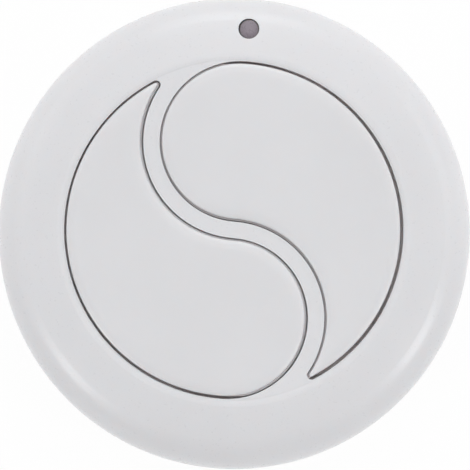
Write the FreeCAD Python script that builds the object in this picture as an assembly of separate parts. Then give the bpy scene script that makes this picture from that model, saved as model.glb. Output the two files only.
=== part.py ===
"""A round two-button garage door remote, as an assembly of its real pieces.

Millimetres. Z points up, out of the front face. Y points from the middle to the indicator.
The origin is the centre of the flat back face.
"""

import FreeCAD
import Part

import os
from math import atan2, cos, degrees, pi, radians, sin, sqrt

from FreeCAD import Vector

# Housing
body_radius = 34.0  # greatest radius, around the parting line
parting_height = 7.0
wall = 1.8
back_edge_radius = 6.6  # rounding from the back face to the side
step_margin = 0.16  # from the openings' edge to the rim's bead
bead_tilt = 14  # degrees that the bead rises at its inner side
bead_radius = 2.8
crest_tilt = 6.5  # degrees that the rim slopes down beside the bead
shoulder_tilt = 16  # degrees that it slopes where the edge rounding starts
front_edge_radius = 5.0
parting_chamfer = 0.25
lip_thickness = 1.0  # tongue of the back shell inside the front shell
lip_height = 1.6
lip_root_depth = 1.6
lip_clearance = 0.1

# Outline of the buttons, along the middle of the gap around them
rim_width = 9.8  # from the outline to the housing's edge
bridge_width = 2.8  # between the two outlines
tip_radius = 0.45
least_tip_radius = 0.25  # of outlines that lie too far inside for a true offset
gap = 0.4
cap_play = (-0.08, 0.03)  # how far the caps settle to one side in their openings
opening_fillet = 0.12

# Button caps
cap_rise = 0.5  # of the cap's flat top above the front
cap_round_drop = 0.42  # rounding along the cap's upper edge, its height
cap_round_width = 1.5  # and its width in plan
cap_round_steps = 6
cap_skin = 1.5
cap_wall = 1.2
cap_rib = 0.8
cap_rib_depth = 1.2
ledge_drop = 0.55  # from the front face to the caps' ledge along the bridge
ledge_clearance = 0.13
flange_reach = 0.9
flange_thickness = 0.9
flange_clearance = 0.1  # between the flange and the shell's underside
button_travel = 0.3
post_radius = 1.8
post_length = 1.68  # from the skin down to the push switch
post_clearance = 0.02
guide_pin_radius = 0.9
guide_pin_reach = 0.4  # below the circuit board
guide_clearance = 0.15
spine_inset = 5.2  # of an arc rib along the tail of a cap, from the buttons' outline
spine_angles = (75.0, -42.0)
guide_on_spine = (62.0, -15.0)  # degrees, two guide pins on the arc rib
guide_in_lobe = (-7.0, 1.7)  # third guide pin, from the lobe's centre

# S-shaped rib under the bridge between the openings
bridge_rib = 0.8
bridge_rib_bottom = 2.2  # above the circuit board

# Case screws, their bosses and pillars
screw_inset = 3.1  # of the screws' axes, from the inside of the back shell's tongue
screw_angles = (40.0, 140.0, 220.0, 320.0)
boss_radius = 2.4
pillar_radius = 3.2
screw_core_radius = 0.8
screw_crest_radius = 1.1
screw_pitch = 0.8
screw_length = 8.4
screw_point = 1.2
screw_clearance = 0.05
screw_shank_clearance = 0.3
screw_head_radius = 2.0
screw_head_height = 1.5
screw_head_fillet = 0.35
screw_seat_depth = 2.4
counterbore_clearance = 0.3
cross_length = 2.4
cross_width = 0.55
cross_depth = 0.9

# Battery door, a plate that slides out of a T-shaped slot towards -Y
door_thickness = 1.6
door_side = 1.35  # from the cell's bay to the door's side
door_tongue = 0.8  # each side, on the inner half of the thickness
door_ledge = 0.9  # outer half of the thickness
door_end_margin = 1.65  # from the cell's bay to the closed end
door_clearance = 0.15
slot_floor = 1.2
slot_side = 1.6
grip_count = 5
grip_length = 12.0
grip_width = 0.8
grip_pitch = 1.9
grip_depth = 0.35
grip_y = -15.0
arrow_y = -11.5
arrow_half_width = 3.0
arrow_length = 3.4
arrow_depth = 0.3
label_size = (27.0, 10.0)
label_y = 18.5
label_depth = 0.2
label_corner = 1.2

# Coin cell and its bay
cell_radius = 10.0
cell_height = 3.2
cell_y = -4.0
cell_lift = 0.2  # above the door
cell_sheet = 0.25
cell_crimp = 0.85
cell_cap_rim = 1.3  # from the can's side to the cap's side
cell_gasket_width = 0.3
cathode_thickness = 1.3
separator_thickness = 0.15
bay_clearance = 0.35
bay_wall = 1.0
bay_top_gap = 0.8  # below the circuit board
contact_gap = 1.3  # between the cell and the circuit board

# Circuit board
board_thickness = 1.6
board_edge_clearance = 0.9
screw_hole_radius = 1.4

# Battery contacts
strip_thickness = 0.25
strip_width = 3.2
strip_bend = 0.5
contact_touch = 0.03
notch_clearance = 0.8
tab_length = 3.0
tab_gap = 1.5  # from the bay's wall to the negative contact's tab
positive_tab = 4.3
touch_drop = 1.1  # of the positive contact's touching point below the cell's top
contact_bend = 0.3
leaf_touch = 3.0  # length along which the negative contact lies on the cell's cap
leaf_toe = 2.0
leaf_lift = 0.5

# Push switches, six millimetre square, under the lobes
switch_side = 6.0
switch_body_height = 3.5
switch_height = 4.3
switch_foot = 0.1
switch_cover = 0.3
switch_cover_flap = 1.6
switch_flap_width = 3.4
switch_cavity_radius = 2.35
switch_cavity_depth = 1.5
stem_radius = 1.75
stem_clearance = 0.1
stem_flange_radius = 2.1
stem_flange = 0.5
dome_radius = 2.2
dome_height = 0.62
dome_sheet = 0.1
switch_corner = 0.3
stem_crown = 0.2
terminal_width = 0.7
terminal_sheet = 0.2
terminal_bend = 0.2
terminal_height = 0.9
terminal_shoulder = 0.5
terminal_root = 0.05  # inside the base's side
terminal_reach = 1.5
terminal_spacing = 4.5

# Indicator
indicator_margin = 1.1  # from the lens's flange to the inside of the shell
indicator_hole_radius = 1.5
lens_clearance = 0.12
lens_play = (0.05, -0.05)  # how far the lens settles to one side in its hole
lens_seat_clearance = 0.02
lens_recess = 0.35
lens_dome = 0.12
lens_flange_radius = 1.9
lens_flange = 0.6
lens_seat_radius = 3.0
lens_seat_depth = 3.0  # of the lens seat below the front's surface
light_pipe_radius = 1.2
light_pipe_gap = 0.2
led_size = (2.0, 1.25)
led_base = 0.4
led_dome_radius = 0.55
led_dome_crown = 0.3
led_height = 0.9
led_resistor_offset = (5.5, -7.7)

# Antenna, a wire loop above the board
antenna_inset = 7.4  # from the board's edge
antenna_angles = (100.0, 196.0)
antenna_wire = 0.45
antenna_height = 1.4
antenna_bend = 1.0
antenna_tail = 0.7  # below the board

# Chips: centre, body size
encoder_at = (-13.0, 0.0)
encoder_size = (3.9, 4.9, 1.4)
encoder_pins = 4
encoder_pitch = 1.27
transistor_at = (14.2, -7.0)
transistor_size = (1.3, 2.9, 0.95)
transistor_pitch = 0.95
resonator_at = (15.4, 4.5)
resonator_size = (4.4, 10.6, 3.0)
resonator_base = 0.5
resonator_skirt = 0.35
trimmer_inset = 4.2  # from the antenna's loop
trimmer_y = -6.0
trimmer_size = (4.5, 3.4, 1.1)
trimmer_rotor_radius = 1.35
trimmer_rotor_height = 0.5
trimmer_clearance = 0.08
trimmer_slot = (1.9, 0.45, 0.3)
pin_width = 0.4
pin_sheet = 0.18
pin_reach = 1.05
chip_foot = 0.1
chip_length = 2.0
chip_width = 1.25
chip_end = 0.35
capacitor_height = 0.8
resistor_height = 0.5
capacitors_at = ((6.5, -2.0), (6.5, -4.4), (20.0, 8.5), (9.0, 3.5), (-5.5, 6.0))
resistors_at = ((-6.5, 1.2), (-6.5, 3.4), (-6.5, -1.6), (-12.0, -10.5), (-16.5, 9.0))
solder_radius = 1.0
solder_height = 0.7

# Heights that follow from the stack of pieces
slot_height = door_thickness + door_clearance
pad_top = slot_height + slot_floor
cell_bottom = door_thickness + cell_lift
cell_top = cell_bottom + cell_height
board_bottom = cell_top + contact_gap
board_top = board_bottom + board_thickness
stem_top = board_top + switch_height
cap_underside = stem_top + post_clearance + post_length
cap_top = cap_underside + cap_skin
cap_edge_height = cap_top - cap_round_drop
front_height = cap_top - cap_rise
front_underside = front_height - wall
flange_top = front_underside - flange_clearance
flange_bottom = flange_top - flange_thickness
ledge_height = front_height - ledge_drop - flange_bottom
half_gap = gap / 2
outline_radius = body_radius - rim_width
lobe_offset = (outline_radius + bridge_width / 2) / 2
lobe_radius = outline_radius - lobe_offset
hollow_radius = lobe_radius + bridge_width
back_flat_radius = body_radius - back_edge_radius
lip_outer_radius = body_radius - wall - lip_clearance
lip_inner_radius = lip_outer_radius - lip_thickness
board_radius = lip_inner_radius - board_edge_clearance
screw_circle_radius = lip_inner_radius - screw_inset
indicator_y = body_radius - wall - lens_flange_radius - indicator_margin
antenna_radius = board_radius - antenna_inset
spine_radius = outline_radius - spine_inset
bay_radius = cell_radius + bay_clearance
door_half_width = bay_radius + door_side
door_end = cell_y + bay_radius + door_end_margin
cell_cap_radius = cell_radius - cell_cap_rim
trimmer_at = (trimmer_inset - antenna_radius, trimmer_y)
led_resistor_at = (led_resistor_offset[0], indicator_y + led_resistor_offset[1])
step_radius = outline_radius + half_gap + step_margin
bead_centre = (
    step_radius + bead_radius * sin(radians(bead_tilt)),
    front_height - bead_radius * cos(radians(bead_tilt)),
)
crest_radius = bead_centre[0] + bead_radius * sin(radians(crest_tilt))
crest_height = bead_centre[1] + bead_radius * cos(radians(crest_tilt))

# Centres of the two arcs of the front's profile, as radius and height
edge_centre_radius = body_radius - front_edge_radius
shoulder_radius = edge_centre_radius + front_edge_radius * sin(radians(shoulder_tilt))
rim_arc_radius = (shoulder_radius - crest_radius) / (
    sin(radians(shoulder_tilt)) - sin(radians(crest_tilt))
)
rim_centre = (
    crest_radius - rim_arc_radius * sin(radians(crest_tilt)),
    crest_height - rim_arc_radius * cos(radians(crest_tilt)),
)
edge_centre = (
    edge_centre_radius,
    rim_centre[1] + (rim_arc_radius - front_edge_radius) * cos(radians(shoulder_tilt)),
)

up = Vector(0, 0, 1)
origin = Vector(0, 0, 0)


def in_section(radius, height):
    """A point of a profile that is turned about Z."""
    return Vector(radius, 0, height)


def in_plan(height):
    """Places plan coordinates at one height."""
    return lambda x, y: Vector(x, y, height)


def polar(radius, angle, height=0.0):
    """A point about Z at an angle in degrees."""
    return Vector(radius * cos(radians(angle)), radius * sin(radians(angle)), height)


def arc(centre, radius, start, end, place):
    """An arc between two angles in degrees, in the plane that place describes."""
    angles = (start, (start + end) / 2, end)
    points = [
        place(centre[0] + radius * cos(radians(a)), centre[1] + radius * sin(radians(a)))
        for a in angles
    ]
    return Part.Arc(*points).toShape()


def path(points):
    """Straight edges through the points."""
    return [Part.LineSegment(a, b).toShape() for a, b in zip(points, points[1:])]


def turned(edges):
    """The solid of a closed profile turned about Z."""
    return Part.Face(Part.Wire(edges)).revolve(origin, up, 360)


def turned_polygon(corners):
    """The solid of a closed polygon of (radius, height) corners turned about Z."""
    points = [in_section(*corner) for corner in corners]
    return turned(path(points + points[:1]))


def prism(wire, height):
    """A flat closed wire raised into a solid."""
    return Part.Face(wire).extrude(up * height)


def cylinder(radius, bottom, top, x=0.0, y=0.0):
    return Part.makeCylinder(radius, top - bottom, Vector(x, y, bottom), up)


def ring(outer, inner, bottom, top, x=0.0, y=0.0):
    return cylinder(outer, bottom, top, x, y).cut(cylinder(inner, bottom, top, x, y))


def box(x_size, y_size, bottom, top, x=0.0, y=0.0):
    """A box centred on x and y."""
    corner = Vector(x - x_size / 2, y - y_size / 2, bottom)
    return Part.makeBox(x_size, y_size, top - bottom, corner)


def rounded_box(x_size, y_size, bottom, top, corner, x=0.0, y=0.0):
    """A box with rounded upright edges."""
    block = box(x_size, y_size, bottom, top, x, y)
    upright = [e for e in block.Edges if abs(e.tangentAt(e.FirstParameter).z) > 0.9]
    return block.makeFillet(corner, upright)


def half_turn(shape):
    """A copy turned half round Z, from the upper button's side to the lower one's."""
    copy = shape.copy()
    copy.rotate(origin, up, 180)
    return copy


def moved(shape, x, y, z=0.0):
    copy = shape.copy()
    copy.translate(Vector(x, y, z))
    return copy


def around(shape, angles):
    """Copies of a shape turned about Z."""
    copies = []
    for angle in angles:
        copy = shape.copy()
        copy.rotate(origin, up, angle)
        copies.append(copy)
    return copies


def strip(points, width, thickness, bend):
    """A bent sheet-metal strip along (a, z) points, centred on its width across Y."""
    corners = [Vector(a, 0, z) for a, z in points]
    edges = []
    start = corners[0]
    for before, here, after in zip(corners, corners[1:], corners[2:]):
        toward, away = (before - here).normalize(), (after - here).normalize()
        half_angle = toward.getAngle(away) / 2
        run = bend / abs(sin(half_angle) / cos(half_angle))
        middle = here + (toward + away).normalize() * (bend / sin(half_angle) - bend)
        edges.append(Part.LineSegment(start, here + toward * run).toShape())
        edges.append(Part.Arc(here + toward * run, middle, here + away * run).toShape())
        start = here + away * run
    edges.append(Part.LineSegment(start, corners[-1]).toShape())
    first = (corners[1] - corners[0]).normalize()
    across = Vector(-first.z, 0, first.x) * (thickness / 2)
    side = Vector(0, width / 2, 0)
    section = Part.makePolygon(
        [corners[0] + s for s in (across + side, across - side, -across - side, side - across)]
        + [corners[0] + across + side]
    )
    return Part.Wire(edges).makePipeShell([section], True, False)


def front_profile(inset):
    """Edges of the front's outer profile, moved inwards, from the axis to the parting line."""
    top = front_height - inset
    rim_radius = rim_arc_radius - inset
    if inset:
        meets = degrees(
            atan2(top - rim_centre[1], sqrt(rim_radius**2 - (top - rim_centre[1]) ** 2))
        )
        middle = [(0, top), (rim_centre[0] + rim_radius * cos(radians(meets)), top)]
    else:
        meets = 90 - crest_tilt
        middle = [(0, top), (step_radius, top)]
    side = body_radius - inset
    return [
        *path([in_section(*corner) for corner in middle]),
        *([] if inset else [arc(bead_centre, bead_radius, 90 + bead_tilt, meets, in_section)]),
        arc(rim_centre, rim_radius, meets, 90 - shoulder_tilt, in_section),
        arc(edge_centre, front_edge_radius - inset, 90 - shoulder_tilt, 0, in_section),
        *path([in_section(side, edge_centre[1]), in_section(side, parting_height)]),
    ]


def front_volume(inset):
    """The front half of the housing as a filled solid, moved inwards."""
    side = in_section(body_radius - inset, parting_height)
    closing = [side, in_section(0, parting_height), in_section(0, front_height - inset)]
    return turned(front_profile(inset) + path(closing))


def back_volume(inset):
    """The back half of the housing as a filled solid, moved inwards."""
    centre = (back_flat_radius, back_edge_radius)
    side = body_radius - inset
    return turned(
        [
            *path([in_section(0, inset), in_section(back_flat_radius, inset)]),
            arc(centre, back_edge_radius - inset, -90, 0, in_section),
            *path(
                [
                    in_section(side, back_edge_radius),
                    in_section(side, parting_height),
                    in_section(0, parting_height),
                    in_section(0, inset),
                ]
            ),
        ]
    )


def front_surface_height(radius):
    """Height of the sloping rim's surface at a radius."""
    return rim_centre[1] + sqrt(rim_arc_radius**2 - (radius - rim_centre[0]) ** 2)


def lens_seat_height():
    """Height of the face that the indicator lens's flange sits under."""
    return front_surface_height(indicator_y) - lens_seat_depth


def button_outline(inset, height):
    """Closed outline of the upper button, inset from the middle of the gap around it."""
    place = in_plan(height)
    outer = outline_radius - inset
    hollow = hollow_radius + inset
    tip = max(tip_radius - inset, least_tip_radius)
    far = outer - tip
    near = hollow + tip
    tip_y = (near**2 - far**2 - lobe_offset**2) / (2 * lobe_offset)
    tip_x = sqrt(far**2 - tip_y**2)
    outward = degrees(atan2(tip_y, tip_x))
    inward = degrees(atan2(tip_y + lobe_offset, tip_x))
    return Part.Wire(
        [
            arc((0, 0), outer, 90, outward, place),
            arc((tip_x, tip_y), tip, outward, inward - 180, place),
            arc((0, -lobe_offset), hollow, inward, 90, place),
            arc((0, lobe_offset), lobe_radius - inset, -90, -270, place),
        ]
    )


def guide_pin_places():
    """Plan places of the upper cap's three guide pins."""
    on_spine = [polar(spine_radius, angle) for angle in guide_on_spine]
    in_lobe = Vector(guide_in_lobe[0], lobe_offset + guide_in_lobe[1], 0)
    return on_spine + [in_lobe]


def arc_rib(centre_y, radius, start, end, thickness, bottom, top):
    """An upright rib along an arc in plan."""
    place = in_plan(bottom)
    outer, inner = radius + thickness / 2, radius - thickness / 2
    first = arc((0, centre_y), outer, start, end, place)
    second = arc((0, centre_y), inner, end, start, place)
    ends = [
        Part.LineSegment(first.lastVertex(True).Point, second.firstVertex(True).Point).toShape(),
        Part.LineSegment(second.lastVertex(True).Point, first.firstVertex(True).Point).toShape(),
    ]
    return prism(Part.Wire([first, ends[0], second, ends[1]]), top - bottom)


def button_cap():
    """The upper button's cap: rounded skin, side wall, flange, post, ribs and pins."""
    cap = prism(button_outline(half_gap, flange_bottom), cap_edge_height - flange_bottom)
    sections = []
    for step in range(cap_round_steps + 1):
        angle = pi / 2 * step / cap_round_steps
        inset = half_gap + cap_round_width * (1 - cos(angle))
        height = cap_edge_height + cap_round_drop * sin(angle)
        sections.append(button_outline(inset, height))
    crown = Part.makeLoft(sections, True, False)
    flange = button_outline(half_gap - flange_reach, flange_bottom)
    ledge = prism(button_outline(ledge_clearance - half_gap, flange_bottom), ledge_height)
    ledge = ledge.common(cylinder(outline_radius - half_gap, flange_bottom, cap_top))
    cap = cap.fuse([crown, ledge, prism(flange, flange_thickness)])
    inside = half_gap + cap_wall
    cap = cap.cut(prism(button_outline(inside, flange_bottom), cap_underside - flange_bottom))
    return cap.fuse(cap_inner_features(inside)).removeSplitter()


def cap_inner_features(inside):
    """Post, ribs and guide pins below a cap's skin."""
    rib_bottom = cap_underside - cap_rib_depth
    root = inside - cap_wall / 2
    room = prism(button_outline(root, rib_bottom), cap_rib_depth)
    across = box(4 * lobe_radius, cap_rib, rib_bottom, cap_underside, 0, lobe_offset)
    along = box(cap_rib, 4 * lobe_radius, rib_bottom, cap_underside, 0, lobe_offset)
    spine = arc_rib(0, spine_radius, *spine_angles, cap_rib, rib_bottom, cap_underside)
    ribs = across.fuse([along, spine]).common(room)
    post = cylinder(post_radius, stem_top + post_clearance, cap_underside, 0, lobe_offset)
    pins = [
        cylinder(guide_pin_radius, board_bottom - guide_pin_reach, cap_underside, place.x, place.y)
        for place in guide_pin_places()
    ]
    return ribs.fuse([post, *pins])


def bridge_rib_solid():
    """The S-shaped rib that stiffens the bridge between the two openings."""
    bottom = board_top + bridge_rib_bottom
    top = front_height - wall / 2
    half = arc_rib(lobe_offset, lobe_offset, 100, 270, bridge_rib, bottom, top)
    return half.fuse(half_turn(half))


def front_shell():
    """Domed front housing with the two button openings and the indicator's hole."""
    shell = front_volume(0).cut(front_volume(wall))
    opening = prism(button_outline(-half_gap, front_underside - wall), 3 * wall)
    shell = shell.cut([opening, half_turn(opening)])
    mouth = [
        e
        for e in shell.Edges
        if abs(e.BoundBox.ZMin - front_height) < 1e-4
        and e.BoundBox.ZLength < 1e-4
        and e.BoundBox.DiagonalLength < 2 * step_radius * sqrt(2) - 0.1
    ]
    shell = shell.makeFillet(opening_fillet, mouth)
    foot = [
        e
        for e in shell.Edges
        if abs(e.BoundBox.ZMax - parting_height) < 1e-4
        and abs(e.BoundBox.XMax - body_radius) < 1e-3
    ]
    shell = shell.makeChamfer(parting_chamfer, foot)
    inside = front_volume(wall / 2)
    bosses = [
        cylinder(boss_radius, board_top, front_height, *polar(screw_circle_radius, a)[:2])
        for a in screw_angles
    ]
    seat = cylinder(lens_seat_radius, lens_seat_height(), front_height, 0, indicator_y)
    added = [feature.common(inside) for feature in (*bosses, seat)]
    shell = shell.fuse([*added, bridge_rib_solid()])
    pilot_top = screw_seat_depth + screw_length + screw_clearance
    bores = [
        cylinder(
            screw_crest_radius + screw_clearance,
            board_top,
            pilot_top,
            *polar(screw_circle_radius, a)[:2],
        )
        for a in screw_angles
    ]
    window = cylinder(indicator_hole_radius, board_top, cap_top, 0, indicator_y)
    return shell.cut([*bores, window]).removeSplitter()


def door_section(grow, ledge_grow):
    """The door's T-shaped body, grown by a clearance, from the closed end to past the rim."""
    length = door_end + grow + 2 * body_radius
    middle = door_end + grow - length / 2
    top = door_thickness + grow
    plate = box(2 * (door_half_width + grow), length, -1, top, 0, middle)
    tongue_bottom = door_ledge + ledge_grow
    tongue_width = 2 * (door_half_width + door_tongue + grow)
    tongues = box(tongue_width, length, tongue_bottom, top, 0, middle)
    return plate.fuse(tongues)


def battery_door():
    """The sliding battery door, flush with the back and with the rim's rounding."""
    plate = door_section(0, door_clearance).common(back_volume(0))
    first = box(grip_length, grip_width, -1, grip_depth, 0, grip_y)
    grips = [moved(first, 0, -grip_pitch * i) for i in range(grip_count)]
    point = arrow_y - arrow_length / 2
    base = arrow_y + arrow_length / 2
    corners = [(-arrow_half_width, base), (arrow_half_width, base), (0, point)]
    corners = [Vector(x, y, -1) for x, y in corners]
    arrow = prism(Part.makePolygon(corners + corners[:1]), 1 + arrow_depth)
    return plate.cut([*grips, arrow]).removeSplitter()


def back_shell():
    """Flat back housing with the door's slot, the cell's bay and four screw pillars."""
    filled = back_volume(0)
    shell = filled.cut(back_volume(wall))
    rim = [
        e
        for e in shell.Edges
        if abs(e.BoundBox.ZMin - parting_height) < 1e-4
        and abs(e.BoundBox.XMax - body_radius) < 1e-3
    ]
    shell = shell.makeChamfer(parting_chamfer, rim)
    root_bottom = parting_height - lip_root_depth
    root = ring(body_radius - wall / 2, lip_inner_radius, root_bottom, parting_height)
    lip = ring(lip_outer_radius, lip_inner_radius, root_bottom, parting_height + lip_height)
    slot_half_width = door_half_width + door_tongue + door_clearance + slot_side
    pad_end = door_end + door_clearance + slot_side
    pad_length = pad_end + body_radius
    pad = box(2 * slot_half_width, pad_length, wall / 2, pad_top, 0, pad_end - pad_length / 2)
    pillars = [
        cylinder(pillar_radius, wall / 2, board_bottom, *polar(screw_circle_radius, a)[:2])
        for a in screw_angles
    ]
    body = back_volume(wall / 2)
    inner = [feature.common(body) for feature in (pad, *pillars)]
    bay_top = board_bottom - bay_top_gap
    bay = cylinder(bay_radius + bay_wall, wall / 2, bay_top, 0, cell_y)
    shell = shell.fuse([root.common(body), lip, *inner, bay])
    cell_hole = cylinder(bay_radius, -1, bay_top + 1, 0, cell_y)
    notch_length = strip_bend + bay_wall + bay_clearance + 1
    notch = box(
        notch_length,
        strip_width + notch_clearance,
        pad_top,
        bay_top + 1,
        -cell_radius - notch_length / 2,
        cell_y,
    )
    slot = door_section(door_clearance, 0)
    label = rounded_box(*label_size, -1, label_depth, label_corner, 0, label_y)
    holes = []
    for angle in screw_angles:
        place = polar(screw_circle_radius, angle)[:2]
        holes.append(
            cylinder(screw_head_radius + counterbore_clearance, -1, screw_seat_depth, *place)
        )
        holes.append(
            cylinder(screw_crest_radius + screw_shank_clearance, -1, board_bottom + 1, *place)
        )
    return shell.cut([cell_hole, notch, slot, label, *holes]).removeSplitter()


def case_screw():
    """A self-tapping pan-head screw, standing on Z with its head down."""
    seat = screw_seat_depth
    tip = seat + screw_length
    corners = [(0, seat - screw_head_height), (screw_head_radius, seat - screw_head_height)]
    corners += [(screw_head_radius, seat), (screw_core_radius, seat)]
    height = seat + screw_pitch
    while height < tip - screw_point - screw_pitch:
        corners += [
            (screw_core_radius, height),
            (screw_crest_radius, height + screw_pitch * 0.4),
            (screw_crest_radius, height + screw_pitch * 0.5),
            (screw_core_radius, height + screw_pitch * 0.9),
        ]
        height += screw_pitch
    corners += [(screw_core_radius, tip - screw_point), (0, tip)]
    screw = turned_polygon(corners)
    rim = [
        e
        for e in screw.Edges
        if abs(e.BoundBox.ZMax - (seat - screw_head_height)) < 1e-4
        and e.BoundBox.XMax > screw_head_radius - 1e-3
    ]
    screw = screw.makeFillet(screw_head_fillet, rim)
    bottom = seat - screw_head_height
    bars = [
        box(cross_length, cross_width, bottom - 1, bottom + cross_depth),
        box(cross_width, cross_length, bottom - 1, bottom + cross_depth),
    ]
    return screw.cut(bars)


def case_screws():
    screw = moved(case_screw(), screw_circle_radius, 0)
    return Part.makeCompound(around(screw, screw_angles))


def antenna_leg_places():
    """Plan places of the antenna's two legs."""
    places = []
    for angle, side in zip(antenna_angles, (-1, 1)):
        end = polar(antenna_radius, angle)
        along = Vector(-sin(radians(angle)), cos(radians(angle)), 0)
        places.append(end + along * (side * antenna_bend))
    return places


def antenna():
    """A wire loop over the board's edge, with both ends bent down through the board."""
    height = board_top + antenna_height
    low = board_bottom - antenna_tail
    ends = [polar(antenna_radius, a, height) for a in antenna_angles]
    feet = [Vector(p.x, p.y, low) for p in antenna_leg_places()]
    knees = [Vector(p.x, p.y, height - antenna_bend) for p in feet]
    middle = antenna_bend * (1 - sqrt(0.5))
    bends = []
    for end, knee in zip(ends, knees):
        level = Vector(end.x - knee.x, end.y - knee.y, 0).normalize()
        turn = knee + level * middle + up * (antenna_bend - middle)
        bends.append(Part.Arc(knee, turn, end).toShape())
    loop = arc((0, 0), antenna_radius, *antenna_angles, in_plan(height))
    route = Part.Wire(
        [
            Part.LineSegment(feet[0], knees[0]).toShape(),
            bends[0],
            loop,
            bends[1],
            Part.LineSegment(knees[1], feet[1]).toShape(),
        ]
    )
    section = Part.Wire(Part.makeCircle(antenna_wire, feet[0], up))
    return route.makePipeShell([section], True, False)


def solder_places():
    """Plan places where a lead passes through the board, with the lead's radius."""
    legs = [(p.x, p.y, antenna_wire) for p in antenna_leg_places()]
    return legs


def circuit_board():
    """Round board with holes for the case screws, the guide pins and the antenna's legs."""
    board = cylinder(board_radius, board_bottom, board_top)
    holes = [
        cylinder(screw_hole_radius, board_bottom, board_top, *polar(screw_circle_radius, a)[:2])
        for a in screw_angles
    ]
    guide = guide_pin_radius + guide_clearance
    for place in guide_pin_places():
        for side in (1, -1):
            x, y = side * place.x, side * place.y
            holes.append(cylinder(guide, board_bottom, board_top, x, y))
    for x, y, radius in solder_places():
        holes.append(cylinder(radius, board_bottom, board_top, x, y))
    return board.cut(holes)


def solder_joints():
    """A fillet of solder around each lead below the board."""
    joints = []
    for x, y, radius in solder_places():
        cone = Part.makeCone(
            radius + 0.1,
            solder_radius,
            solder_height,
            Vector(x, y, board_bottom - solder_height),
            up,
        )
        lead = cylinder(radius, board_bottom - solder_height, board_bottom, x, y)
        joints.append(cone.cut(lead))
    return Part.makeCompound(joints)


def positive_contact():
    """A bent strip from the board that presses on the side of the cell's can."""
    flat = board_bottom - strip_thickness / 2
    upright = bay_radius + bay_wall / 2 + strip_thickness
    touch = cell_radius + contact_touch + strip_thickness / 2
    points = [
        (upright + positive_tab, flat),
        (upright, flat),
        (upright, cell_top - touch_drop / 5),
        (touch, cell_top - touch_drop),
        (upright - strip_thickness, pad_top + strip_thickness),
    ]
    contact = strip(points, strip_width, strip_thickness, contact_bend)
    return moved(half_turn(contact), 0, cell_y)


def negative_contact():
    """A leaf spring below the board that presses on the cell's cap."""
    flat = board_bottom - strip_thickness / 2
    touch = cell_top + contact_touch + strip_thickness / 2
    tab_start = cell_y + bay_radius + bay_wall + tab_gap
    points = [
        (tab_start + tab_length, flat),
        (tab_start, flat),
        (cell_y + leaf_touch / 2, touch),
        (cell_y - leaf_touch / 2, touch),
        (cell_y - leaf_touch / 2 - leaf_toe, touch + leaf_lift),
    ]
    leaf = strip(points, strip_width, strip_thickness, strip_bend)
    leaf.rotate(origin, up, 90)
    return leaf


def coin_cell():
    """The coin cell's sealed pieces, in place above the door."""
    bottom, top = cell_bottom, cell_top
    sheet = cell_sheet
    inner = cell_radius - sheet
    crimp_top = top - sheet
    crimp_inner = cell_radius - cell_crimp
    gasket_outer = inner
    gasket_inner = gasket_outer - cell_gasket_width
    gasket_bottom = bottom + sheet + cathode_thickness
    cap_foot = gasket_bottom + cell_gasket_width
    can = [
        (0, bottom),
        (cell_radius, bottom),
        (cell_radius, crimp_top),
        (crimp_inner, crimp_top),
        (crimp_inner, crimp_top - sheet),
        (inner, crimp_top - sheet),
        (inner, bottom + sheet),
        (0, bottom + sheet),
    ]
    gasket = [
        (cell_cap_radius - sheet, gasket_bottom),
        (gasket_outer, gasket_bottom),
        (gasket_outer, crimp_top - sheet),
        (gasket_inner, crimp_top - sheet),
        (gasket_inner, cap_foot),
        (cell_cap_radius - sheet, cap_foot),
    ]
    cap = [
        (0, top),
        (cell_cap_radius, top),
        (cell_cap_radius, cap_foot),
        (cell_cap_radius - sheet, cap_foot),
        (cell_cap_radius - sheet, top - sheet),
        (0, top - sheet),
    ]
    core_radius = cell_cap_radius - 2 * sheet
    separator_top = gasket_bottom + separator_thickness
    pieces = {
        "cell_can": rounded_foot(turned_polygon(can), bottom, cell_radius, 0.4),
        "cell_gasket": turned_polygon(gasket),
        "cell_cap": turned_polygon(cap),
        "cell_cathode": cylinder(core_radius, bottom + sheet, gasket_bottom),
        "cell_separator": cylinder(core_radius, gasket_bottom, separator_top),
        "cell_anode": cylinder(core_radius, separator_top, top - sheet),
    }
    return {name: moved(piece, 0, cell_y) for name, piece in pieces.items()}


def rounded_foot(solid, bottom, radius, fillet):
    """Rounds the outer edge at the foot of a turned solid."""
    foot = [
        e
        for e in solid.Edges
        if abs(e.BoundBox.ZMax - bottom) < 1e-4 and e.BoundBox.XMax > radius - 1e-3
    ]
    return solid.makeFillet(fillet, foot)


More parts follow.
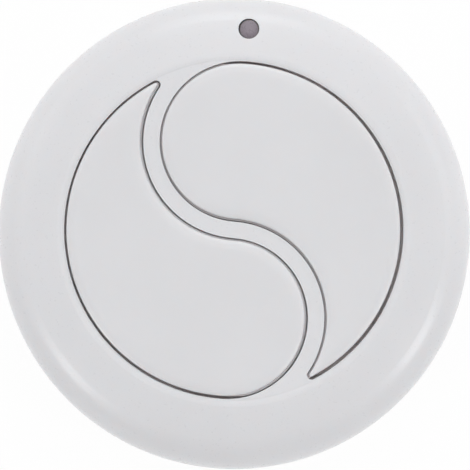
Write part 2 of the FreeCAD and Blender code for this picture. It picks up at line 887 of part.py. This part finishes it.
def push_switch():
    """The pieces of a push switch that stands on the board at the origin."""
    base_bottom = board_top + switch_foot
    cover_top = board_top + switch_body_height
    base_top = cover_top - switch_cover
    cavity_floor = base_top - switch_cavity_depth
    side = switch_side - 2 * switch_cover
    base = rounded_box(side, side, base_bottom, base_top, switch_corner)
    base = base.cut(cylinder(switch_cavity_radius, cavity_floor, base_top))
    hole = stem_radius + stem_clearance
    cover = rounded_box(switch_side, switch_side, base_top, cover_top, switch_corner)
    flap_bottom = base_top - switch_cover_flap
    reach = (switch_side - switch_cover) / 2
    for sign in (1, -1):
        flap = box(switch_cover, switch_flap_width, flap_bottom, cover_top, sign * reach, 0)
        cover = cover.fuse(flap)
    cover = cover.cut(cylinder(hole, base_top, cover_top)).removeSplitter()
    rise = dome_height - dome_sheet
    stem_bottom = cavity_floor + dome_height + stem_clearance / 4
    stem = cylinder(stem_flange_radius, stem_bottom, stem_bottom + stem_flange)
    stem = stem.fuse(cylinder(stem_radius, stem_bottom, stem_top)).removeSplitter()
    crown = [e for e in stem.Edges if abs(e.BoundBox.ZMin - stem_top) < 1e-4]
    stem = stem.makeFillet(stem_crown, crown)
    dome = snap_dome(cavity_floor, rise)
    foot_z = board_top + terminal_sheet / 2
    rise_z = base_bottom + terminal_height
    edge = side / 2
    points = [
        (edge + terminal_reach, foot_z),
        (edge + terminal_shoulder, foot_z),
        (edge + terminal_shoulder, rise_z),
        (edge - terminal_root, rise_z),
    ]
    lead = strip(points, terminal_width, terminal_sheet, terminal_bend)
    lead = lead.cut(base)
    lead.rotate(origin, up, 90)
    half = terminal_spacing / 2
    leads = [moved(lead, side_x * half, 0) for side_x in (1, -1)]
    leads += [half_turn(piece) for piece in leads]
    return {
        "base": base,
        "cover": cover,
        "stem": stem,
        "snap_dome": dome,
        "terminals": Part.makeCompound(leads),
    }


def snap_dome(floor, rise):
    """A thin domed disc standing on its rim."""
    sphere_radius = (dome_radius**2 + rise**2) / (2 * rise)
    centre = (0, floor + rise - sphere_radius)
    spread = degrees(atan2(dome_radius, sphere_radius - rise))
    outer = sphere_radius + dome_sheet
    inside = arc(centre, sphere_radius, 90, 90 - spread, in_section)
    outside = arc(centre, outer, 90 - spread, 90, in_section)
    ends = [
        Part.LineSegment(inside.Vertexes[-1].Point, outside.Vertexes[0].Point).toShape(),
        Part.LineSegment(outside.Vertexes[-1].Point, inside.Vertexes[0].Point).toShape(),
    ]
    dome = turned([inside, ends[0], outside, ends[1]])
    below = cylinder(2 * dome_radius, floor - 1, floor)
    return dome.cut(below)


def indicator_lens():
    """A light pipe from the front's hole down to just above the indicator's light."""
    flange_high = lens_seat_height() - lens_seat_clearance
    top = front_surface_height(indicator_y) - lens_recess
    pipe_bottom = board_top + led_height + light_pipe_gap
    radius = indicator_hole_radius - lens_clearance
    pipe = cylinder(radius, flange_high - lens_flange, top - lens_dome)
    pipe = pipe.fuse(
        [
            cylinder(lens_flange_radius, flange_high - lens_flange, flange_high),
            cylinder(light_pipe_radius, pipe_bottom, flange_high),
        ]
    )
    crown_radius = (radius**2 + lens_dome**2) / (2 * lens_dome)
    crown = Part.makeSphere(crown_radius, Vector(0, 0, top - crown_radius))
    crown = crown.common(cylinder(radius, top - 2 * lens_dome, top + 1))
    lens = pipe.fuse(crown).removeSplitter()
    return moved(lens, lens_play[0], indicator_y + lens_play[1])


def indicator_light():
    """The indicator's light: a small base with a clear dome."""
    base_top = board_top + led_base
    base = box(*led_size, board_top, base_top, 0, indicator_y)
    dome = cylinder(led_dome_radius, base_top, board_top + led_height, 0, indicator_y)
    crown = [e for e in dome.Edges if abs(e.BoundBox.ZMin - board_top - led_height) < 1e-4]
    return {"indicator_led_base": base, "indicator_led_dome": dome.makeFillet(led_dome_crown, crown)}


def gull_pin(edge, body_bottom, body_height):
    """One lead of a chip, from its side wall down and out onto the board, along +X."""
    foot_z = board_top + pin_sheet / 2
    high = body_bottom + body_height / 2
    knee = edge + pin_reach * 0.4
    points = [(edge + pin_reach, foot_z), (knee, foot_z), (knee, high), (edge, high)]
    return strip(points, pin_width, pin_sheet, pin_sheet)


def chip_body(size, at):
    """A moulded chip body with softened upright edges, just above the board."""
    bottom = board_top + chip_foot
    return rounded_box(size[0], size[1], bottom, bottom + size[2], 0.2, *at)


def encoder_chip():
    body = chip_body(encoder_size, encoder_at)
    bottom = board_top + chip_foot
    pin = gull_pin(encoder_size[0] / 2, bottom, encoder_size[2])
    middle = (encoder_pins - 1) / 2
    right = [moved(pin, 0, (i - middle) * encoder_pitch) for i in range(encoder_pins)]
    pins = right + [half_turn(p) for p in right]
    dot = cylinder(0.35, bottom + encoder_size[2] - 0.08, bottom + encoder_size[2] + 1)
    corner_x = encoder_at[0] - encoder_size[0] / 2 + 0.8
    corner_y = encoder_at[1] + encoder_size[1] / 2 - 0.8
    body = body.cut(moved(dot, corner_x, corner_y))
    leads = Part.makeCompound([moved(p, *encoder_at) for p in pins])
    return {"encoder_chip": body, "encoder_leads": leads}


def rf_transistor():
    body = chip_body(transistor_size, transistor_at)
    bottom = board_top + chip_foot
    pin = gull_pin(transistor_size[0] / 2, bottom, transistor_size[2])
    pins = [moved(pin, 0, transistor_pitch), moved(pin, 0, -transistor_pitch), half_turn(pin)]
    leads = Part.makeCompound([moved(p, *transistor_at) for p in pins])
    return {"rf_transistor": body, "rf_transistor_leads": leads}


def resonator():
    """A metal can with round ends on a flanged base."""
    width, length, height = resonator_size
    base_top = board_top + resonator_base
    skirt = 2 * resonator_skirt
    base = rounded_box(
        width + skirt,
        length + skirt,
        board_top,
        base_top,
        width / 2 + resonator_skirt - 0.01,
        *resonator_at,
    )
    can = rounded_box(
        width, length, base_top, board_top + height, width / 2 - 0.01, *resonator_at
    )
    crown = [e for e in can.Edges if abs(e.BoundBox.ZMin - board_top - height) < 1e-4]
    return {"resonator_base": base, "resonator_can": can.makeFillet(0.4, crown)}


def trimmer():
    """A trimmer capacitor: a block with a slotted rotor in a round well."""
    bottom = board_top + chip_foot
    top = bottom + trimmer_size[2]
    block = rounded_box(trimmer_size[0], trimmer_size[1], bottom, top, 0.3)
    well_floor = top - trimmer_rotor_height + 0.15
    well = cylinder(trimmer_rotor_radius + trimmer_clearance, well_floor, top)
    rotor_bottom = well_floor + trimmer_clearance / 2
    rotor = cylinder(trimmer_rotor_radius, rotor_bottom, rotor_bottom + trimmer_rotor_height)
    length, width, depth = trimmer_slot
    rotor_top = rotor_bottom + trimmer_rotor_height
    rotor = rotor.cut(box(length, width, rotor_top - depth, rotor_top + 1))
    return {
        "trimmer_body": moved(block.cut(well), *trimmer_at),
        "trimmer_rotor": moved(rotor, *trimmer_at),
    }


def small_chips():
    """Chip capacitors and resistors, with their plated ends as a node of their own."""
    middle = chip_length - 2 * chip_end
    end_shift = (chip_length - chip_end) / 2
    bodies = {"chip_capacitors": [], "chip_resistors": []}
    ends = []
    kinds = (
        ("chip_capacitors", capacitors_at, capacitor_height),
        ("chip_resistors", (*resistors_at, led_resistor_at), resistor_height),
    )
    for name, places, height in kinds:
        top = board_top + height
        for x, y in places:
            bodies[name].append(box(middle, chip_width, board_top, top, x, y))
            for sign in (1, -1):
                ends.append(box(chip_end, chip_width, board_top, top, x + sign * end_shift, y))
    shapes = {name: Part.makeCompound(solids) for name, solids in bodies.items()}
    shapes["chip_end_caps"] = Part.makeCompound(ends)
    return shapes


def all_pieces():
    """Every sub-part by its node's name."""
    cap = button_cap()
    pieces = {
        "front_shell": front_shell(),
        "back_shell": back_shell(),
        "battery_door": battery_door(),
        "case_screws": case_screws(),
        "button_upper": moved(cap, *cap_play),
        "button_lower": moved(half_turn(cap), *cap_play),
        "circuit_board": circuit_board(),
        "solder_joints": solder_joints(),
        "antenna": antenna(),
        "positive_contact": positive_contact(),
        "negative_contact": negative_contact(),
        "indicator_lens": indicator_lens(),
    }
    for group in (coin_cell, indicator_light, encoder_chip, rf_transistor):
        pieces.update(group())
    for group in (resonator, trimmer, small_chips):
        pieces.update(group())
    for name, piece in push_switch().items():
        upper = moved(piece, 0, lobe_offset)
        pieces["switch_upper_" + name] = upper
        pieces["switch_lower_" + name] = half_turn(upper)
    return pieces


def main():
    os.makedirs("parts", exist_ok=True)
    for name, shape in all_pieces().items():
        if not shape.isValid() or not shape.Solids:
            print("PROBLEM", name, shape.isValid(), len(shape.Solids))
        shape.exportStep("parts/" + name + ".step")
        print(name, len(shape.Solids), "solids", round(shape.Volume, 2), "mm3")


main()
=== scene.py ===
"""Dresses the round two-button garage door remote: materials, floor, soft lights and camera."""

from math import cos, radians, sin

import bpy
from mathutils import Matrix, Vector


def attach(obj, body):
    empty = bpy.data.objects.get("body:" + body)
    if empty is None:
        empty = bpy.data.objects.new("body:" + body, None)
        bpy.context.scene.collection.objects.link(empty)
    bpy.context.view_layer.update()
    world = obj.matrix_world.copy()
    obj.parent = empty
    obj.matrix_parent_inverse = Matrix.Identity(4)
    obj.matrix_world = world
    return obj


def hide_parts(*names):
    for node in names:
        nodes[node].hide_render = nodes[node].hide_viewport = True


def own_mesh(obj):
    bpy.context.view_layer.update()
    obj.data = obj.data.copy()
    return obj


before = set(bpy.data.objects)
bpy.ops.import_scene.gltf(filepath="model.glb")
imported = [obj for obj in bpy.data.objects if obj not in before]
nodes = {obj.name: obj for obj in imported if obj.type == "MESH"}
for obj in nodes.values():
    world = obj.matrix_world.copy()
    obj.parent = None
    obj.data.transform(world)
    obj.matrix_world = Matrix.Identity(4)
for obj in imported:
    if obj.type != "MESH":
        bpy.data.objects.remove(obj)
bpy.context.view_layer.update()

MM = 0.001

# Image frame, and the remote's outline in it
IMAGE_PX = 470
OUTLINE_CENTRE_PX = (234.33, 233.47)
OUTLINE_RADIUS_PX = 235.3
BODY_RADIUS = 34.0 * MM
OUTLINE_HEIGHT = 8.05 * MM

# Camera, with its angles in degrees
CAMERA_ROLL = 4.2
CAMERA_TILT = 4.4
CAMERA_SIDE = 0.7
CAMERA_DISTANCE = 1.5
CAMERA_CLIP = (0.05, 20)
SENSOR_MM = 36.0

# Places on the remote
FRONT_HEIGHT = 14.9 * MM  # of the flat front around the buttons
SEAM_REACH = 25.0 * MM  # the buttons' seams lie nearer the middle than this
SEAM_TOP = FRONT_HEIGHT - 0.1 * MM  # from here down a seam's painted light and shade fades in
SEAM_FULL = FRONT_HEIGHT - 0.3 * MM  # and from here down it is full
SEAM_BOTTOM = FRONT_HEIGHT - 4.0 * MM
SEAM_BLEND = 0.1 * MM  # width over which a seam's painted light and shade fades at its other limits
BRIDGE_REACH = 23.7 * MM  # the seams along the bridge lie nearer the middle than this
CREASE_RADIUS = 24.55 * MM  # where the rim's bead rises
CREASE_WIDTH = 0.16 * MM
WINDOW_AXIS = (0.05 * MM, 29.15 * MM)
WINDOW_BORDER = (1.18 * MM, 1.34 * MM)

# Colours
WHITE = (0.694, 0.694, 0.708)
CAP_WHITE = (0.681, 0.681, 0.694)
# painted warm light in the buttons' seams
SEAM_PAINTED_WARM_LIGHT = (0.73, 0.675, 0.675)
UPPER_SEAM_PAINTED_SHADE = (0.62, 0.586, 0.592)  # painted shade in the upper button's seam along the bridge
LOWER_SEAM_PAINTED_LIGHT = (0.78, 0.762, 0.772)  # painted light in the lower button's seam along the bridge
# painted shade for the concave crease where the rim's bead rises
CREASE_PAINTED_SHADE = (0.3, 0.29, 0.28)
WINDOW_DARK = (0.187, 0.157, 0.186)
WINDOW_PALE = (0.213, 0.18, 0.211)
# painted shade at the indicator window's border
WINDOW_EDGE_PAINTED_SHADE = (0.12, 0.105, 0.11)
BLACK = (0.018, 0.018, 0.02)
STEEL = (0.6, 0.59, 0.57)
NICKEL = (0.66, 0.62, 0.55)
TIN = (0.68, 0.68, 0.69)
MASK_GREEN = (0.012, 0.085, 0.032)
TRACK_GREEN = (0.03, 0.19, 0.062)
WEAVE_GREEN = (0.06, 0.2, 0.08)

# Ranges of a noise in which most of its values lie
NOISE_RANGE = (0.3, 0.7)
NARROW_RANGE = (0.35, 0.65)

# Depths of fine bumps, in millimetres
PLASTIC_GRAIN = 0.004
METAL_GRAIN = 0.003
POWDER_GRAIN = 0.004
WINDOW_GRAIN = 0.003
TRACK_DEPTH = 0.02

# World and floor
WORLD_COLOUR = (0.99, 0.99, 1.0)
WORLD_HIGH = 0.36
WORLD_LOW = 1.03
WORLD_RISE = (0.25, 0.75)  # heights of a direction between the low and the high strength
WORLD_LEAN = 0.12  # brighter towards the image's top, darker towards its bottom
FLOOR_SIZE = 6.0
FLOOR_DROP = 0.05 * MM
FLOOR_TONES = ((0.9, 0.9, 0.9), (0.94, 0.94, 0.94))
FLOOR_WHITE_SHARE = 0.96  # of plain white where the camera, gloss or glass looks at the floor

# Lights: name, azimuth and elevation in the image's frame, size, power
LIGHT_DISTANCE = 0.6
SQUARE = (0.3, 0.3)
SLIM = (0.12, 0.2)
LIGHTS = (
    ("key_high", 90, 75, SQUARE, 0.25),
    ("key_low", 90, 38, SQUARE, 0.75),
    ("side_right", 30, 40, SQUARE, 0.34),
    ("side_left", 150, 40, SQUARE, 0.25),
    ("fill_right", -27, 42, SLIM, 0.6),
    ("fill_left", 216, 42, SLIM, 0.54),
)


# Node helpers


class Nodes:
    """A material's node tree, with short calls to add nodes and link them."""

    def __init__(self, name):
        self.material = bpy.data.materials.new(name)
        self.material.use_nodes = True
        self.tree = self.material.node_tree
        self.shader = self.tree.nodes["Principled BSDF"]
        self.place = self.add("ShaderNodeTexCoord").outputs["Object"]

    def add(self, kind, **settings):
        node = self.tree.nodes.new(kind)
        for key, value in settings.items():
            setattr(node, key, value)
        return node

    def link(self, source, target):
        self.tree.links.new(source, target)

    def constants(self, **values):
        """Sets the shader's own sockets, with spaces in their names as underscores."""
        for key, value in values.items():
            self.shader.inputs[key.replace("_", " ")].default_value = value

    def colour(self, value):
        self.link(value, self.shader.inputs["Base Color"])

    def roughness(self, noise, low, high):
        """Roughness that follows a noise between two values."""
        self.link(self.vary(noise, low, high), self.shader.inputs["Roughness"])

    def scaled(self, x, y, z):
        """The place, stretched by a factor along each axis."""
        mapping = self.add("ShaderNodeMapping")
        mapping.inputs["Scale"].default_value = (x, y, z)
        self.link(self.place, mapping.inputs["Vector"])
        return mapping.outputs["Vector"]

    def height(self):
        node = self.add("ShaderNodeSeparateXYZ")
        self.link(self.place, node.inputs[0])
        return node.outputs["Z"]

    def radius(self, x=0.0, y=0.0):
        """Distance from an upright axis."""
        flat = self.add("ShaderNodeVectorMath", operation="MULTIPLY_ADD")
        self.link(self.place, flat.inputs[0])
        flat.inputs[1].default_value = (1, 1, 0)
        flat.inputs[2].default_value = (-x, -y, 0)
        length = self.add("ShaderNodeVectorMath", operation="LENGTH")
        self.link(flat.outputs["Vector"], length.inputs[0])
        return length.outputs["Value"]

    def noise(self, scale, detail=2.0, roughness=0.5, vector=None):
        node = self.add("ShaderNodeTexNoise")
        node.inputs["Scale"].default_value = scale
        node.inputs["Detail"].default_value = detail
        node.inputs["Roughness"].default_value = roughness
        self.link(vector or self.place, node.inputs["Vector"])
        return node.outputs["Fac"]

    def voronoi(self, scale, feature="F1", vector=None):
        node = self.add("ShaderNodeTexVoronoi", feature=feature)
        node.inputs["Scale"].default_value = scale
        self.link(vector or self.place, node.inputs["Vector"])
        return node.outputs["Distance"]

    def spread(self, value, low, high, to_low, to_high):
        """The value moved from one range to another and clamped."""
        node = self.add("ShaderNodeMapRange")
        limits = (low, high, to_low, to_high)
        for key, limit in zip(("From Min", "From Max", "To Min", "To Max"), limits):
            node.inputs[key].default_value = limit
        self.link(value, node.inputs["Value"])
        return node.outputs["Result"]

    def vary(self, noise, low=0, high=1, within=NOISE_RANGE):
        """A noise's usual range moved to another."""
        return self.spread(noise, *within, low, high)

    def mix(self, factor, first, second):
        """A colour between two, each a colour or another node's output."""
        node = self.add("ShaderNodeMix", data_type="RGBA")
        self.link(factor, node.inputs["Factor"])
        for socket, colour in ((node.inputs[6], first), (node.inputs[7], second)):
            if isinstance(colour, tuple):
                socket.default_value = (*colour, 1.0)
            else:
                self.link(colour, socket)
        return node.outputs[2]

    def math(self, operation, first, second=0):
        node = self.add("ShaderNodeMath", operation=operation)
        for socket, value in zip(node.inputs, (first, second)):
            if isinstance(value, (int, float)):
                socket.default_value = value
            else:
                self.link(value, socket)
        return node.outputs["Value"]

    def product(self, *factors):
        total = factors[0]
        for factor in factors[1:]:
            total = self.math("MULTIPLY", total, factor)
        return total

    def bump(self, height, depth):
        """A bump of a depth in millimetres."""
        node = self.add("ShaderNodeBump")
        node.inputs["Distance"].default_value = depth * MM
        node.inputs["Strength"].default_value = 1.0
        self.link(height, node.inputs["Height"])
        self.link(node.outputs["Normal"], self.shader.inputs["Normal"])


def scaled_colour(colour, factor):
    return tuple(min(1.0, c * factor) for c in colour)


# Materials


def paint_seam_light_and_shade(m, tone, painted_seam_light_and_shade):
    """Painted warm light down in the buttons' seams. Along the bridge each button has its own
    painted tone: shade for the upper, light for the lower.
    """
    height = m.height()
    radius = m.radius()
    above = m.spread(height, SEAM_BOTTOM, SEAM_BOTTOM + SEAM_BLEND, 0, 1)
    below = m.spread(height, SEAM_FULL, SEAM_TOP, 1, 0)
    inward = m.spread(radius, SEAM_REACH, SEAM_REACH + SEAM_BLEND, 1, 0)
    around = m.spread(radius, BRIDGE_REACH, BRIDGE_REACH + SEAM_BLEND, 0, 1)
    return m.mix(m.product(above, below, inward), tone, m.mix(around, painted_seam_light_and_shade, SEAM_PAINTED_WARM_LIGHT))


def crease_painted_shade(m, tone):
    """Faint, patchy painted shade in the concave crease where the rim's bead rises."""
    away = m.math("ABSOLUTE", m.math("SUBTRACT", m.radius(), CREASE_RADIUS))
    crease = m.spread(away, 0, CREASE_WIDTH, 1, 0)
    return m.mix(m.product(crease, m.vary(m.noise(300), 0.05, 0.1)), tone, CREASE_PAINTED_SHADE)


def specks(m, tone, colour):
    """A few small specks of dust."""
    hit = m.spread(m.voronoi(260), 0.03, 0.07, 0.3, 0.0)
    rare = m.spread(m.noise(120, 0), 0.71, 0.75, 0, 1)
    return m.mix(m.product(hit, rare), tone, scaled_colour(colour, 0.45))


def moulded_plastic(name, colour, roughness, painted_seam_light_and_shade=SEAM_PAINTED_WARM_LIGHT):
    """Satin moulded plastic: faint cloudiness, fine texture, painted light and shade in the seams,
    painted shade in the rim's crease and little dust.
    """
    m = Nodes(name)
    m.constants(IOR=1.5, Subsurface_Weight=0.6, Subsurface_Radius=(1.0, 0.8, 0.72))
    m.constants(Subsurface_Scale=1.5 * MM)
    clouds = m.vary(m.noise(55, 3, 0.55))
    tone = m.mix(clouds, scaled_colour(colour, 0.985), scaled_colour(colour, 1.015))
    tone = specks(m, tone, colour)
    # painted light and shade in the buttons' seams
    tone = paint_seam_light_and_shade(m, tone, painted_seam_light_and_shade)
    # painted shade in the rim's crease
    m.colour(crease_painted_shade(m, tone))
    m.roughness(m.noise(2600), roughness - 0.03, roughness + 0.03)
    m.bump(m.noise(5200, 2, 0.6), PLASTIC_GRAIN)
    return m.material


def tinted_window(name):
    """Smoky translucent plastic of the indicator window, with painted shade at its border."""
    m = Nodes(name)
    m.constants(IOR=1.55, Coat_Weight=0.25, Coat_Roughness=0.15)
    tone = m.mix(m.vary(m.noise(900)), WINDOW_DARK, WINDOW_PALE)
    # painted shade in a thin ring at the window's border
    border = m.spread(m.radius(*WINDOW_AXIS), *WINDOW_BORDER, 0, 1)
    m.colour(m.mix(border, tone, WINDOW_EDGE_PAINTED_SHADE))
    m.roughness(m.noise(2500), 0.24, 0.34)
    m.bump(m.noise(3000, 1), WINDOW_GRAIN)
    return m.material


def worked_metal(name, colour, roughness, grain_along=(1, 1, 1)):
    """Rolled, drawn or plated metal with fine lines or spots and slight dulling."""
    m = Nodes(name)
    m.constants(Metallic=1.0)
    lines = m.noise(2600, 3, 0.6, m.scaled(*grain_along))
    dull = m.vary(m.noise(350, 3, 0.6), within=NARROW_RANGE)
    m.colour(m.mix(dull, scaled_colour(colour, 0.86), scaled_colour(colour, 1.06)))
    m.roughness(lines, roughness - 0.08, roughness + 0.1)
    m.bump(lines, METAL_GRAIN)
    return m.material


def speckled(name, colour, second, roughness, scale=4000):
    """Ceramic, moulding compound, fleece and other fine-grained stuff."""
    m = Nodes(name)
    grains = m.noise(scale, 3, 0.65)
    m.colour(m.mix(m.vary(grains, within=NARROW_RANGE), colour, second))
    m.roughness(m.noise(scale / 3), roughness - 0.06, roughness + 0.06)
    m.bump(grains, POWDER_GRAIN)
    return m.material


def circuit_laminate(name):
    """Green solder mask over a net of copper tracks, with a faint weave."""
    m = Nodes(name)
    m.constants(IOR=1.5, Coat_Weight=0.4, Coat_Roughness=0.12)
    cells = m.voronoi(420, "DISTANCE_TO_EDGE", m.scaled(1, 1, 0.05))
    track = m.spread(cells, 0.05, 0.075, 1.0, 0.0)
    mask = m.mix(track, MASK_GREEN, TRACK_GREEN)
    weave = m.add("ShaderNodeTexWave", bands_direction="DIAGONAL")
    weave.inputs["Scale"].default_value = 700
    m.link(m.place, weave.inputs["Vector"])
    m.colour(m.mix(m.spread(weave.outputs["Fac"], 0, 1, 0, 0.12), mask, WEAVE_GREEN))
    m.roughness(m.noise(1500), 0.28, 0.4)
    m.bump(track, TRACK_DEPTH)
    return m.material


def clear_epoxy(name):
    """Clear epoxy over the indicator's chip."""
    m = Nodes(name)
    m.constants(IOR=1.52, Transmission_Weight=0.9)
    m.colour(m.mix(m.noise(2000), (0.9, 0.87, 0.82), (0.98, 0.95, 0.9)))
    m.roughness(m.noise(3500), 0.04, 0.12)
    return m.material


shell = moulded_plastic("shell_satin_plastic", WHITE, 0.3)
tin = worked_metal("tin_plating", TIN, 0.24)
steel = worked_metal("stamped_steel", STEEL, 0.3, (1, 12, 1))
nickel = worked_metal("nickel_spring_strip", NICKEL, 0.26, (10, 1, 1))
nylon = speckled("black_nylon", BLACK, (0.035, 0.035, 0.037), 0.5)

materials = {
    "front_shell": shell,
    "back_shell": shell,
    "battery_door": moulded_plastic("door_satin_plastic", WHITE, 0.33),
    "button_upper": moulded_plastic("button_upper_satin_plastic", CAP_WHITE, 0.33, UPPER_SEAM_PAINTED_SHADE),
    "button_lower": moulded_plastic("button_lower_satin_plastic", CAP_WHITE, 0.33, LOWER_SEAM_PAINTED_LIGHT),
    "indicator_lens": tinted_window("smoky_window"),
    "case_screws": worked_metal("zinc_screw", (0.42, 0.42, 0.44), 0.34),
    "circuit_board": circuit_laminate("circuit_laminate"),
    "solder_joints": worked_metal("solder", (0.7, 0.7, 0.71), 0.2),
    "antenna": worked_metal("enamelled_copper", (0.62, 0.24, 0.09), 0.28),
    "positive_contact": nickel,
    "negative_contact": nickel,
    "cell_can": worked_metal("cell_steel", (0.63, 0.62, 0.6), 0.28, (1, 9, 1)),
    "cell_cap": worked_metal("cell_cap_steel", STEEL, 0.33),
    "cell_gasket": speckled("cell_gasket", (0.3, 0.3, 0.31), (0.36, 0.36, 0.37), 0.5),
    "cell_cathode": speckled("cathode_powder", (0.01, 0.01, 0.01), (0.05, 0.05, 0.05), 0.8),
    "cell_separator": speckled(
        "separator_fleece", (0.6, 0.6, 0.58), (0.75, 0.75, 0.73), 0.9, 9000
    ),
    "cell_anode": worked_metal("anode_foil", (0.5, 0.5, 0.52), 0.5),
    "indicator_led_base": speckled("light_base", (0.66, 0.66, 0.63), (0.74, 0.74, 0.71), 0.4),
    "indicator_led_dome": clear_epoxy("clear_epoxy"),
    "encoder_chip": speckled("chip_compound", BLACK, (0.032, 0.032, 0.034), 0.55, 6000),
    "encoder_leads": tin,
    "rf_transistor": speckled("transistor_compound", BLACK, (0.03, 0.03, 0.033), 0.55, 6000),
    "rf_transistor_leads": tin,
    "resonator_base": steel,
    "resonator_can": worked_metal("drawn_can", (0.68, 0.68, 0.68), 0.2, (1, 8, 1)),
    "trimmer_body": speckled("cream_ceramic", (0.6, 0.55, 0.42), (0.7, 0.65, 0.52), 0.5),
    "trimmer_rotor": worked_metal("plated_brass", (0.72, 0.62, 0.36), 0.28),
    "chip_capacitors": speckled("tan_ceramic", (0.3, 0.19, 0.1), (0.38, 0.26, 0.15), 0.45),
    "chip_resistors": speckled("black_glaze", (0.012, 0.012, 0.014), (0.025, 0.025, 0.03), 0.25),
    "chip_end_caps": tin,
}
for side in ("upper", "lower"):
    switch = f"switch_{side}_"
    materials[switch + "base"] = nylon
    materials[switch + "cover"] = steel
    materials[switch + "stem"] = speckled(
        f"stem_{side}_plastic", (0.03, 0.026, 0.024), (0.05, 0.044, 0.04), 0.4
    )
    materials[switch + "snap_dome"] = steel
    materials[switch + "terminals"] = tin

for name, material in materials.items():
    slots = nodes[name].data.materials
    slots.clear()
    slots.append(material)


# Snap domes below the switches' stems, copied and attached to the housing


def flattening_dome(side):
    """Stands for a push switch's snap dome: a copy of its mesh, attached to the housing in place of
    the hidden original.
    """
    name = f"switch_{side}_snap_dome"
    dome = bpy.data.objects.new(f"flattening_dome_{side}", nodes[name].data.copy())
    bpy.context.scene.collection.objects.link(dome)
    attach(dome, "housing")
    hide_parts(name)
    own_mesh(dome)


for side in ("upper", "lower"):
    flattening_dome(side)


# Floor and world


def behind_white(tree, shaded, white_share, white_kind):
    """Mixes white over a shader where the camera, gloss or glass looks at it."""
    path = tree.nodes.new("ShaderNodeLightPath")
    seen = path.outputs["Is Camera Ray"]
    for other in ("Is Glossy Ray", "Is Transmission Ray"):
        either = tree.nodes.new("ShaderNodeMath")
        either.operation = "MAXIMUM"
        tree.links.new(seen, either.inputs[0])
        tree.links.new(path.outputs[other], either.inputs[1])
        seen = either.outputs["Value"]
    share = tree.nodes.new("ShaderNodeMath")
    share.operation = "MULTIPLY"
    share.inputs[1].default_value = white_share
    tree.links.new(seen, share.inputs[0])
    white = tree.nodes.new(white_kind)
    white.inputs["Color"].default_value = (1, 1, 1, 1)
    mix = tree.nodes.new("ShaderNodeMixShader")
    tree.links.new(share.outputs["Value"], mix.inputs["Fac"])
    tree.links.new(shaded, mix.inputs[1])
    tree.links.new(white.outputs[0], mix.inputs[2])
    return mix.outputs["Shader"]


def light_world():
    """A pale world, brighter near the horizon and towards the image's top."""
    world = bpy.data.worlds.new("studio")
    bpy.context.scene.world = world
    world.use_nodes = True
    tree = world.node_tree
    surroundings = tree.nodes["Background"]
    surroundings.inputs["Color"].default_value = (*WORLD_COLOUR, 1)
    direction = tree.nodes.new("ShaderNodeTexCoord")
    axes = tree.nodes.new("ShaderNodeSeparateXYZ")
    tree.links.new(direction.outputs["Generated"], axes.inputs[0])
    level = tree.nodes.new("ShaderNodeMapRange")
    level.interpolation_type = "SMOOTHSTEP"
    limits = (*WORLD_RISE, WORLD_LOW, WORLD_HIGH)
    for key, limit in zip(("From Min", "From Max", "To Min", "To Max"), limits):
        level.inputs[key].default_value = limit
    tree.links.new(axes.outputs["Z"], level.inputs["Value"])
    lean = tree.nodes.new("ShaderNodeMath")
    lean.operation = "MULTIPLY_ADD"
    lean.inputs[1].default_value = WORLD_LEAN
    tree.links.new(axes.outputs["Y"], lean.inputs[0])
    tree.links.new(level.outputs["Result"], lean.inputs[2])
    tree.links.new(lean.outputs["Value"], surroundings.inputs["Strength"])
    shown = behind_white(tree, surroundings.outputs["Background"], 1.0, "ShaderNodeBackground")
    tree.links.new(shown, tree.nodes["World Output"].inputs["Surface"])


def lay_floor():
    bpy.ops.mesh.primitive_plane_add(size=FLOOR_SIZE, location=(0, 0, -FLOOR_DROP))
    floor = bpy.context.object
    floor.name = "studio_floor"
    m = Nodes("pale_floor")
    m.constants(Roughness=0.9, Specular_IOR_Level=0.1)
    m.colour(m.mix(m.noise(40, 3), *FLOOR_TONES))
    shown = behind_white(
        m.tree, m.shader.outputs["BSDF"], FLOOR_WHITE_SHARE, "ShaderNodeEmission"
    )
    m.link(shown, m.tree.nodes["Material Output"].inputs["Surface"])
    floor.data.materials.append(m.material)


light_world()
lay_floor()


# Lights


def soft_light(name, azimuth, elevation, size, power):
    """A soft light that looks at the remote from a direction in the image's frame."""
    data = bpy.data.lights.new(name, "AREA")
    data.shape = "RECTANGLE"
    data.size, data.size_y = size
    data.energy = power
    light = bpy.data.objects.new(name, data)
    bpy.context.scene.collection.objects.link(light)
    a, e = radians(azimuth + CAMERA_ROLL), radians(elevation)
    back = Vector((cos(a) * cos(e), sin(a) * cos(e), sin(e)))
    light.location = back * LIGHT_DISTANCE
    light.rotation_mode = "QUATERNION"
    light.rotation_quaternion = back.to_track_quat("Z", "Y")


for row in LIGHTS:
    soft_light(*row)


# Camera


def aim_camera():
    """Sets the camera above the remote, rolled and tilted as in the photograph."""
    roll, tilt, side = radians(CAMERA_ROLL), radians(CAMERA_TILT), radians(CAMERA_SIDE)
    up = Vector((-sin(roll), cos(roll), 0))
    right = Vector((cos(roll), sin(roll), 0))
    back = (Vector((0, 0, cos(tilt))) - up * sin(tilt) + right * sin(side)).normalized()
    right = (right - back * right.dot(back)).normalized()
    up = back.cross(right)
    pixel = BODY_RADIUS / OUTLINE_RADIUS_PX
    half = IMAGE_PX / 2
    off_x = (half - OUTLINE_CENTRE_PX[0]) * pixel
    off_y = (OUTLINE_CENTRE_PX[1] - half) * pixel
    target = Vector((0, 0, OUTLINE_HEIGHT)) + right * off_x + up * off_y
    data = bpy.data.cameras.new("camera")
    data.sensor_width = SENSOR_MM
    data.lens = SENSOR_MM * CAMERA_DISTANCE / (IMAGE_PX * pixel)
    data.clip_start, data.clip_end = CAMERA_CLIP
    camera = bpy.data.objects.new("camera", data)
    bpy.context.scene.collection.objects.link(camera)
    turn = Matrix((right, up, back)).transposed()
    camera.matrix_world = Matrix.Translation(target + back * CAMERA_DISTANCE) @ turn.to_4x4()
    bpy.context.scene.camera = camera


aim_camera()
bpy.context.scene.view_settings.view_transform = "Standard"
